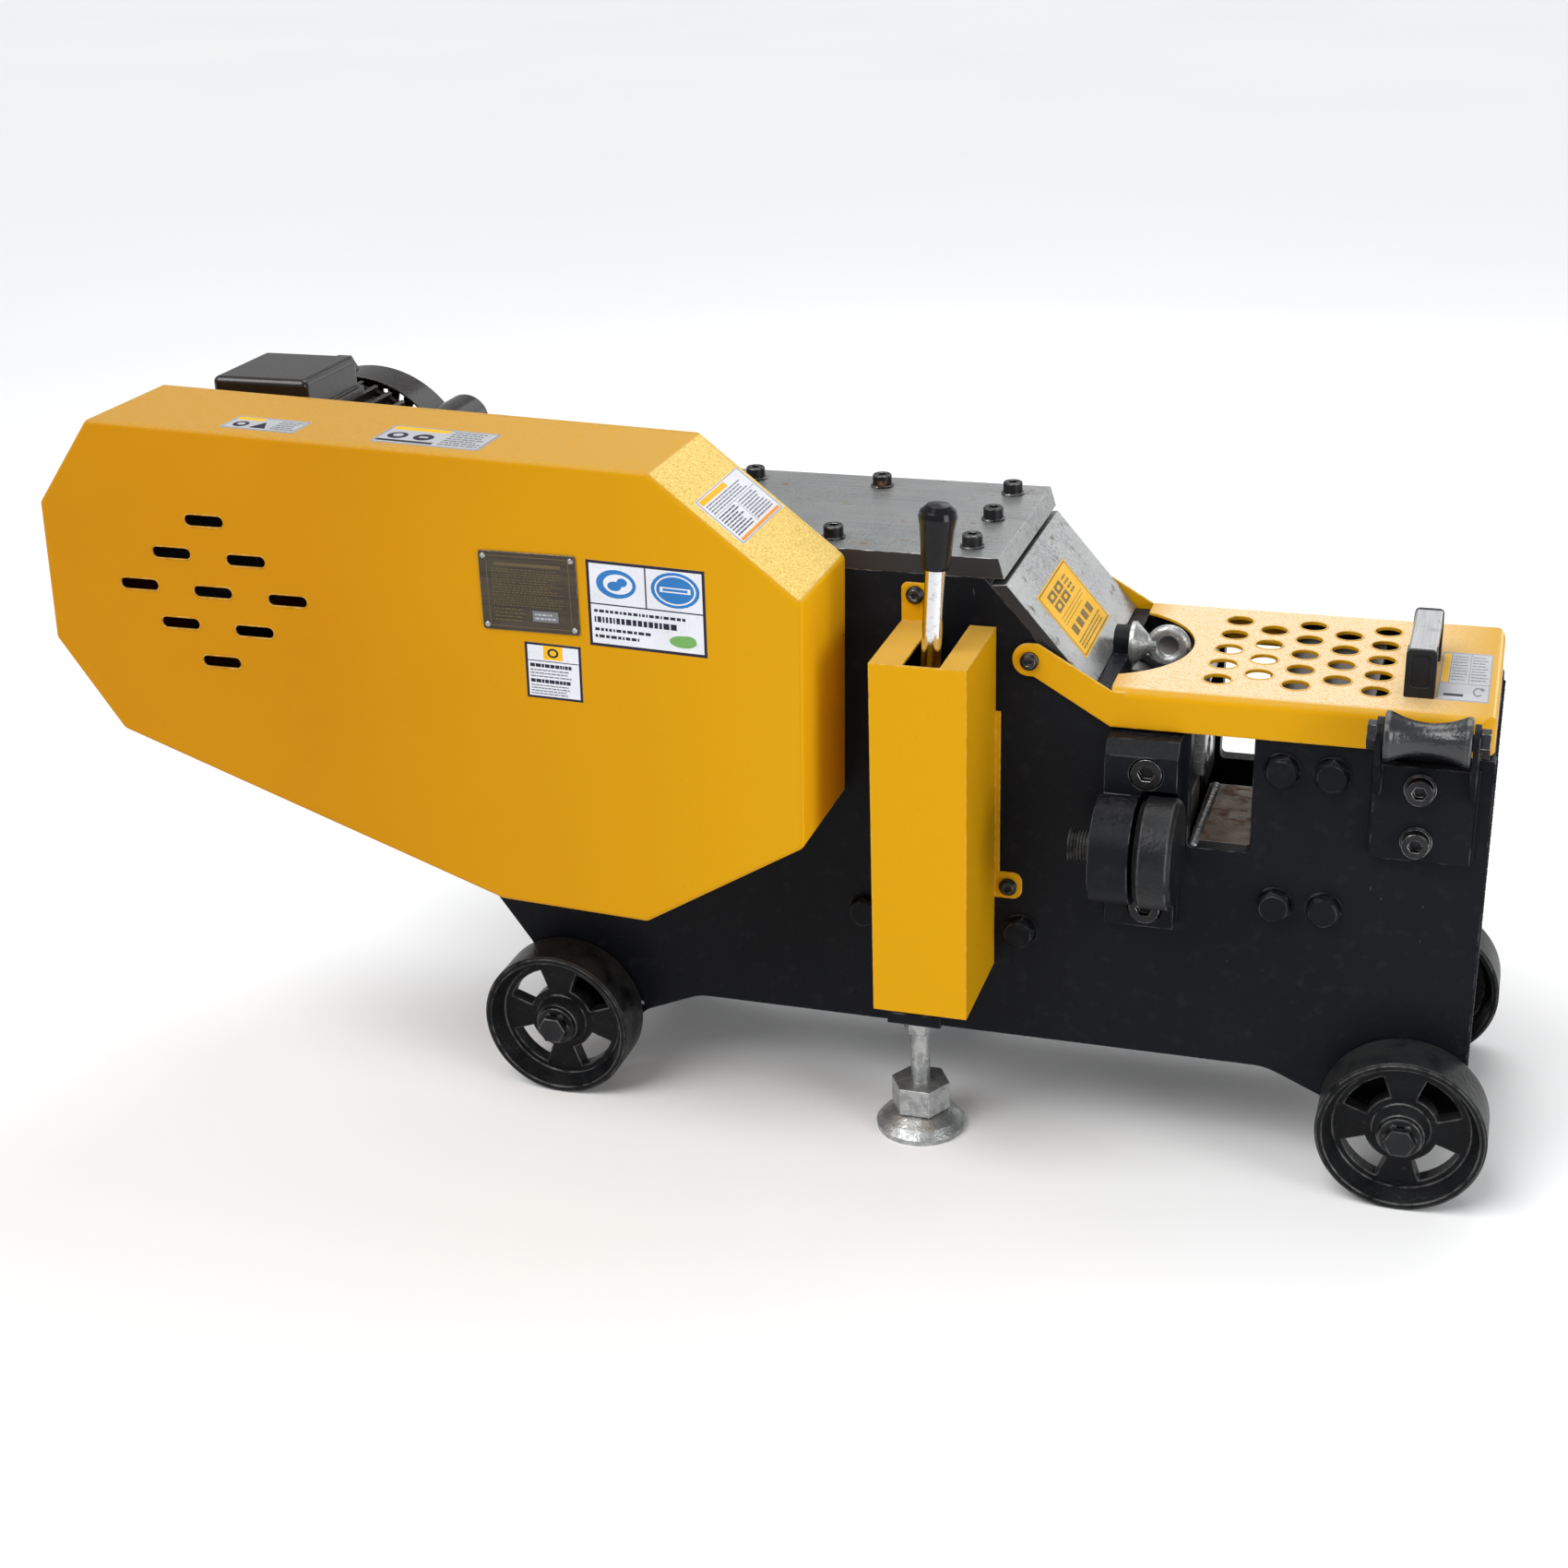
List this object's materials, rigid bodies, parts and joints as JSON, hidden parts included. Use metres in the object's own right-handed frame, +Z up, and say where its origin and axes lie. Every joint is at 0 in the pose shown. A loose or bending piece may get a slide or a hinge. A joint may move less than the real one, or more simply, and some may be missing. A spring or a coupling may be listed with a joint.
{
  "type": "rebar cutter",
  "caption": "Wheeled workshop rebar cutter: a belt-driven motor and gear train turn a crank that drives a ram and blade across an open throat in a heavy plate body.",
  "frame": {"origin": "on the floor, under the middle of the whole machine's length and width", "axes": "+X towards the shearing end, +Y away from the operator's side (the belt guard is on -Y), +Z up"},
  "size_m": [1.4568, 0.4636, 0.755],
  "materials": {
    "frame_black": "satin paint, chipped along the edges",
    "bare_plate": "bare ground steel, oiled",
    "guard_yellow": "smooth semi-gloss paint",
    "bolt_black": "black oxide",
    "gear_steel": "oiled steel",
    "shaft_steel": "ground steel",
    "blade_steel": "ground tool steel",
    "worn_steel": "worn and slightly rusty",
    "cast_grey": "bare casting with a worn tread",
    "zinc": "zinc plated",
    "motor_brown": "glossy dark enamel",
    "copper_core": "laminated core with windings",
    "belt_rubber": "matt rubber",
    "black_plastic": "fine matt plastic",
    "knob_plastic": "polished plastic",
    "bar_silver": "brushed and anodised",
    "lever_chrome": "chrome plated",
    "plate_bronze": "anodised plate"
  },
  "bodies": {
    "frame": {"axles": "cast_grey", "bar_rest_block": "worn_steel", "bearing_caps": "frame_black", "belt_guard": "guard_yellow", "belt_guard_back": "guard_yellow", "capacitor_cover": "motor_brown", "case_bolts": "bolt_black", "drive_belts": "belt_rubber", "eye_bolt": "zinc", "fan_cover": "motor_brown", "fixed_blade": "blade_steel", "fixed_blade_block": "gear_steel", "foot_brackets": "frame_black", "frame_bolts": "frame_black", "frame_plates": "frame_black", "gear_case_cover": "bare_plate", "lever_box": "guard_yellow", "lever_bracket": "frame_black", "motor_bolts": "bolt_black", "motor_end_shields": "motor_brown", "motor_housing": "motor_brown", "motor_rails": "frame_black", "nameplate": "plate_bronze", "ram_guides": "gear_steel", "roller_axle": "bolt_black", "roller_bracket": "frame_black", "shaft_bearings": "shaft_steel", "side_fitting_bolts": "bolt_black", "side_plate_far": "frame_black", "side_plate_near": "frame_black", "sloped_cover": "bare_plate", "stop_bracket": "frame_black", "terminal_box": "motor_brown"},
    "rotor": {"motor_rotor": "copper_core", "motor_pulley": "cast_grey"},
    "flywheel": {"drive_shaft": "shaft_steel", "flywheel_pulley": "cast_grey"},
    "countershaft": {"countershaft": "shaft_steel", "intermediate_gear": "gear_steel"},
    "clutch_gear": {"clutch_gear": "gear_steel"},
    "crankshaft": {"crankshaft": "gear_steel"},
    "connecting_rod": {"connecting_rod": "gear_steel"},
    "ram": {"ram": "gear_steel", "wrist_pin": "shaft_steel", "moving_blade": "blade_steel"},
    "clutch_sleeve": {"clutch_sleeve": "gear_steel"},
    "lever": {"clutch_lever": "lever_chrome", "lever_knob": "knob_plastic", "shift_fork": "shaft_steel"},
    "blade_guard": {"blade_guard": "guard_yellow", "guard_handle_bar": "bar_silver", "guard_handle_ends": "black_plastic"},
    "stop_screw": {"stop_screw": "cast_grey"},
    "feed_roller": {"feed_roller": "cast_grey"},
    "wheel_front_near": {"wheel_front_near": "cast_grey"},
    "wheel_front_far": {"wheel_front_far": "cast_grey"},
    "wheel_rear_near": {"wheel_rear_near": "cast_grey"},
    "wheel_rear_far": {"wheel_rear_far": "cast_grey"},
    "levelling_foot_near": {"levelling_foot_near": "zinc"},
    "levelling_foot_far": {"levelling_foot_far": "zinc"}
  },
  "joints": [
    {"name": "flywheel_spin", "type": "hinge", "parent": "frame", "child": "flywheel", "pos_m": [-0.13955, 0.0398, 0.503], "axis": [0, 1, 0], "continuous": true},
    {"name": "rotor_spin", "type": "hinge", "parent": "frame", "child": "rotor", "pos_m": [-0.55455, 0.0398, 0.6], "axis": [0, 1, 0], "continuous": true},
    {"name": "countershaft_spin", "type": "hinge", "parent": "frame", "child": "countershaft", "pos_m": [0.00782, 0.0398, 0.44069], "axis": [0, 1, 0], "continuous": true},
    {"name": "clutch_gear_spin", "type": "hinge", "parent": "frame", "child": "clutch_gear", "pos_m": [0.18345, 0.0398, 0.415], "axis": [0, 1, 0], "continuous": true},
    {"name": "crank_turn", "type": "hinge", "parent": "frame", "child": "crankshaft", "pos_m": [0.18345, 0.0398, 0.415], "axis": [0, -1, 0], "range_deg": [0, 180]},
    {"name": "rod_turn", "type": "hinge", "parent": "crankshaft", "child": "connecting_rod", "pos_m": [0.15845, 0.0398, 0.415], "axis": [0, -1, 0], "range_deg": [-180, 0]},
    {"name": "ram_slide", "type": "slide", "parent": "frame", "child": "ram", "axis": [1, 0, 0], "range_m": [0, 0.05]},
    {"name": "lever_swing", "type": "hinge", "parent": "frame", "child": "lever", "pos_m": [0.17645, -0.1662, 0.36], "axis": [-1, 0, 0], "range_deg": [0, 10.3]},
    {"name": "sleeve_slide", "type": "slide", "parent": "crankshaft", "child": "clutch_sleeve", "axis": [0, 1, 0], "range_m": [0, 0.0095]},
    {"name": "guard_swing", "type": "hinge", "parent": "frame", "child": "blade_guard", "pos_m": [0.26445, 0.0398, 0.527], "axis": [0, -1, 0], "range_deg": [0, 100]},
    {"name": "stop_screw_travel", "type": "slide", "parent": "frame", "child": "stop_screw", "axis": [1, 0, 0], "range_m": [-0.003, 0.025]},
    {"name": "roller_spin", "type": "hinge", "parent": "frame", "child": "feed_roller", "pos_m": [0.63645, -0.1252, 0.495], "axis": [1, 0, 0], "continuous": true},
    {"name": "wheel_front_near_spin", "type": "hinge", "parent": "frame", "child": "wheel_front_near", "pos_m": [0.64645, -0.1152, 0.082], "axis": [0, 1, 0], "continuous": true},
    {"name": "wheel_front_far_spin", "type": "hinge", "parent": "frame", "child": "wheel_front_far", "pos_m": [0.64645, 0.1948, 0.082], "axis": [0, 1, 0], "continuous": true},
    {"name": "wheel_rear_near_spin", "type": "hinge", "parent": "frame", "child": "wheel_rear_near", "pos_m": [-0.24055, -0.1152, 0.082], "axis": [0, 1, 0], "continuous": true},
    {"name": "wheel_rear_far_spin", "type": "hinge", "parent": "frame", "child": "wheel_rear_far", "pos_m": [-0.24055, 0.1948, 0.082], "axis": [0, 1, 0], "continuous": true},
    {"name": "foot_near_lift", "type": "slide", "parent": "frame", "child": "levelling_foot_near", "axis": [0, 0, 1], "range_m": [0, 0.03]},
    {"name": "foot_far_lift", "type": "slide", "parent": "frame", "child": "levelling_foot_far", "axis": [0, 0, 1], "range_m": [0, 0.03]}
  ],
  "couplings": [
    {"joint": "rotor_spin", "follows": "flywheel_spin", "ratio": 3.2258},
    {"joint": "countershaft_spin", "follows": "flywheel_spin", "ratio": -0.29032},
    {"joint": "clutch_gear_spin", "follows": "flywheel_spin", "ratio": 0.091398},
    {"joint": "rod_turn", "follows": "crank_turn", "ratio": -1},
    {"joint": "ram_slide", "follows": "crank_turn", "m_per_rad": 0.015915},
    {"joint": "sleeve_slide", "follows": "lever_swing", "m_per_rad": 0.052845}
  ]
}
